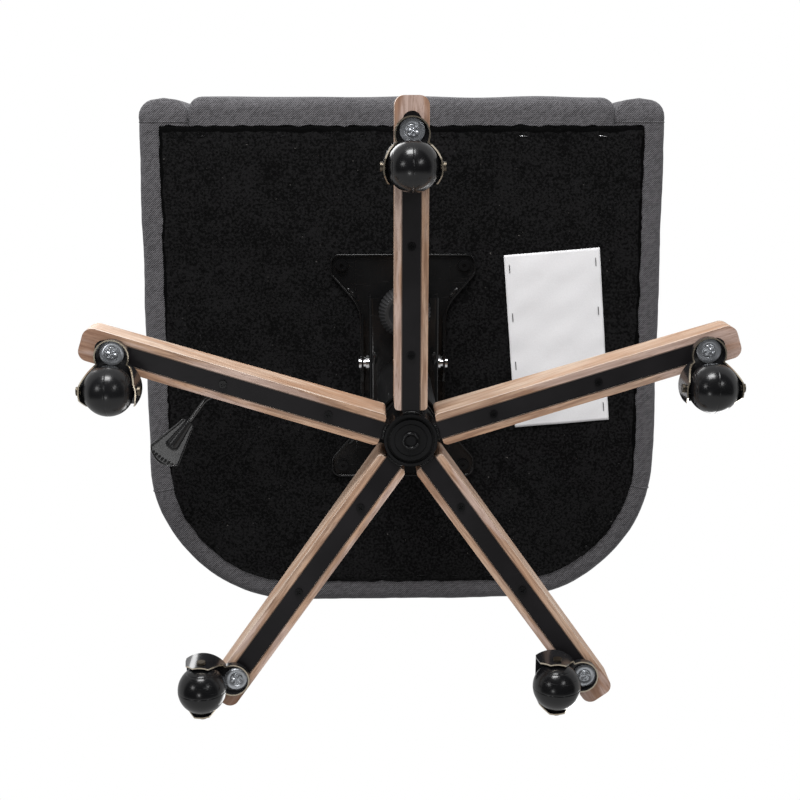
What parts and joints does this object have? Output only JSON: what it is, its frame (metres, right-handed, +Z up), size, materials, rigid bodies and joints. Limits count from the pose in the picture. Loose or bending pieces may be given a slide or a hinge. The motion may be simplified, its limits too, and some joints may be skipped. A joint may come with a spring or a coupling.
{
  "type": "bankers swivel chair",
  "caption": "Upholstered tub chair on a wood-covered star base with hooded ball casters, gas lift, tilt mechanism with tension knob and a paddle lever.",
  "frame": {"origin": "on the floor, on the axis of the gas column, which the base and its casters stand round", "axes": "+Z up along the column; -Y the front of the chair, where the sitter's knees are; +X the side away from the lever, on the left of someone who sits in it"},
  "size_m": [0.6634, 0.6884, 0.8277],
  "materials": {
    "wood": "light weathered oak, satin",
    "fabric": "dark grey twill",
    "dust_cloth": "black nonwoven",
    "bright_steel": "polished",
    "zinc_steel": "zinc plated",
    "black_steel": "black powder coat",
    "base_steel": "black paint, satin",
    "black_plastic": "moulded, fine grain",
    "bush_plastic": "natural nylon",
    "hood_metal": "antique nickel, satin",
    "wheel_metal": "dark nickel, satin",
    "board_wood": "plywood",
    "foam": "foam",
    "paper": "uncoated, blank"
  },
  "bodies": {
    "base": {"hub": "black_steel", "steel_arm_front": "base_steel", "steel_arm_right": "base_steel", "steel_arm_rear_right": "base_steel", "steel_arm_rear_left": "base_steel", "steel_arm_left": "base_steel", "wood_arm_front": "wood", "wood_arm_right": "wood", "wood_arm_rear_right": "wood", "wood_arm_rear_left": "wood", "wood_arm_left": "wood", "arm_screws": "black_steel", "caster_stems": "zinc_steel", "column_tube": "black_steel", "column_end_plate": "zinc_steel", "thrust_bearing": "bright_steel", "guide_bush": "bush_plastic", "column_cover_lower": "black_plastic"},
    "spindle": {"piston_rod": "bright_steel", "retaining_clip": "black_steel"},
    "column": {"gas_cylinder": "bright_steel", "column_cover_upper": "black_plastic", "tilt_housing": "black_steel", "tilt_axle": "bright_steel", "lever_bracket": "black_steel"},
    "release_pin": {"release_pin": "bright_steel"},
    "lever": {"lever_rod": "black_steel", "lever_paddle": "black_plastic"},
    "tilt": {"seat_plate": "black_steel", "tension_bolt": "zinc_steel", "tilt_spring": "black_steel", "plate_bolts": "black_steel", "seat_board": "board_wood", "deck_foam": "foam", "front_rail": "fabric", "left_arm": "fabric", "right_arm": "fabric", "back_rest": "fabric", "back_cushion": "fabric", "seat_cushion": "fabric", "dust_cover": "dust_cloth", "staples": "zinc_steel", "blank_sheet": "paper"},
    "knob": {"tension_knob": "black_plastic"},
    "fork_front": {"caster_hood_front": "hood_metal", "caster_axle_front": "zinc_steel"},
    "ball_front": {"caster_wheel_front": "wheel_metal"},
    "fork_right": {"caster_hood_right": "hood_metal", "caster_axle_right": "zinc_steel"},
    "ball_right": {"caster_wheel_right": "wheel_metal"},
    "fork_rear_right": {"caster_hood_rear_right": "hood_metal", "caster_axle_rear_right": "zinc_steel"},
    "ball_rear_right": {"caster_wheel_rear_right": "wheel_metal"},
    "fork_rear_left": {"caster_hood_rear_left": "hood_metal", "caster_axle_rear_left": "zinc_steel"},
    "ball_rear_left": {"caster_wheel_rear_left": "wheel_metal"},
    "fork_left": {"caster_hood_left": "hood_metal", "caster_axle_left": "zinc_steel"},
    "ball_left": {"caster_wheel_left": "wheel_metal"}
  },
  "joints": [
    {"name": "seat_swivel", "type": "hinge", "parent": "base", "child": "spindle", "pos_m": [0, 0, 0.08], "axis": [0, 0, 1], "continuous": true},
    {"name": "height_lift", "type": "slide", "parent": "spindle", "child": "column", "axis": [0, 0, 1], "range_m": [0, 0.1]},
    {"name": "seat_tilt", "type": "hinge", "parent": "column", "child": "tilt", "pos_m": [0, -0.01869, 0.37794], "axis": [-1, 0, 0], "range_deg": [0, 10], "stiffness_Nm_per_rad": 90, "springref_deg": -20.05, "deforming": ["tilt_spring"]},
    {"name": "tension_knob_turn", "type": "hinge", "parent": "tilt", "child": "knob", "pos_m": [0, -0.09448, 0.30572], "axis": [0, 0.0511, 0.9987], "range_deg": [-720, 720]},
    {"name": "lever_lift", "type": "hinge", "parent": "column", "child": "lever", "pos_m": [-0.03, 0.028, 0.3638], "axis": [0, 1, 0], "range_deg": [0, 4], "stiffness_Nm_per_rad": 2, "springref_deg": -8.59},
    {"name": "release_pin_press", "type": "slide", "parent": "column", "child": "release_pin", "axis": [0, 0, -1], "range_m": [0, 0.0022]},
    {"name": "caster_swivel_front", "type": "hinge", "parent": "base", "child": "fork_front", "pos_m": [0, -0.313, 0.05], "axis": [0, 0, 1], "continuous": true},
    {"name": "wheel_roll_front", "type": "hinge", "parent": "fork_front", "child": "ball_front", "pos_m": [0, -0.28, 0.025], "axis": [-1, 0, 0], "continuous": true},
    {"name": "caster_swivel_right", "type": "hinge", "parent": "base", "child": "fork_right", "pos_m": [0.29768, -0.09672, 0.05], "axis": [0, 0, 1], "continuous": true},
    {"name": "wheel_roll_right", "type": "hinge", "parent": "fork_right", "child": "ball_right", "pos_m": [0.29768, -0.06372, 0.025], "axis": [-1, 0, 0], "continuous": true},
    {"name": "caster_swivel_rear_right", "type": "hinge", "parent": "base", "child": "fork_rear_right", "pos_m": [0.18398, 0.25322, 0.05], "axis": [0, 0, 1], "continuous": true},
    {"name": "wheel_roll_rear_right", "type": "hinge", "parent": "fork_rear_right", "child": "ball_rear_right", "pos_m": [0.15098, 0.25322, 0.025], "axis": [0, -1, 0], "continuous": true},
    {"name": "caster_swivel_rear_left", "type": "hinge", "parent": "base", "child": "fork_rear_left", "pos_m": [-0.18398, 0.25322, 0.05], "axis": [0, 0, 1], "continuous": true},
    {"name": "wheel_roll_rear_left", "type": "hinge", "parent": "fork_rear_left", "child": "ball_rear_left", "pos_m": [-0.21698, 0.25322, 0.025], "axis": [0, -1, 0], "continuous": true},
    {"name": "caster_swivel_left", "type": "hinge", "parent": "base", "child": "fork_left", "pos_m": [-0.29768, -0.09672, 0.05], "axis": [0, 0, 1], "continuous": true},
    {"name": "wheel_roll_left", "type": "hinge", "parent": "fork_left", "child": "ball_left", "pos_m": [-0.29768, -0.06372, 0.025], "axis": [-1, 0, 0], "continuous": true}
  ],
  "couplings": [
    {"joint": "release_pin_press", "follows": "lever_lift", "m_per_rad": 0.03}
  ]
}
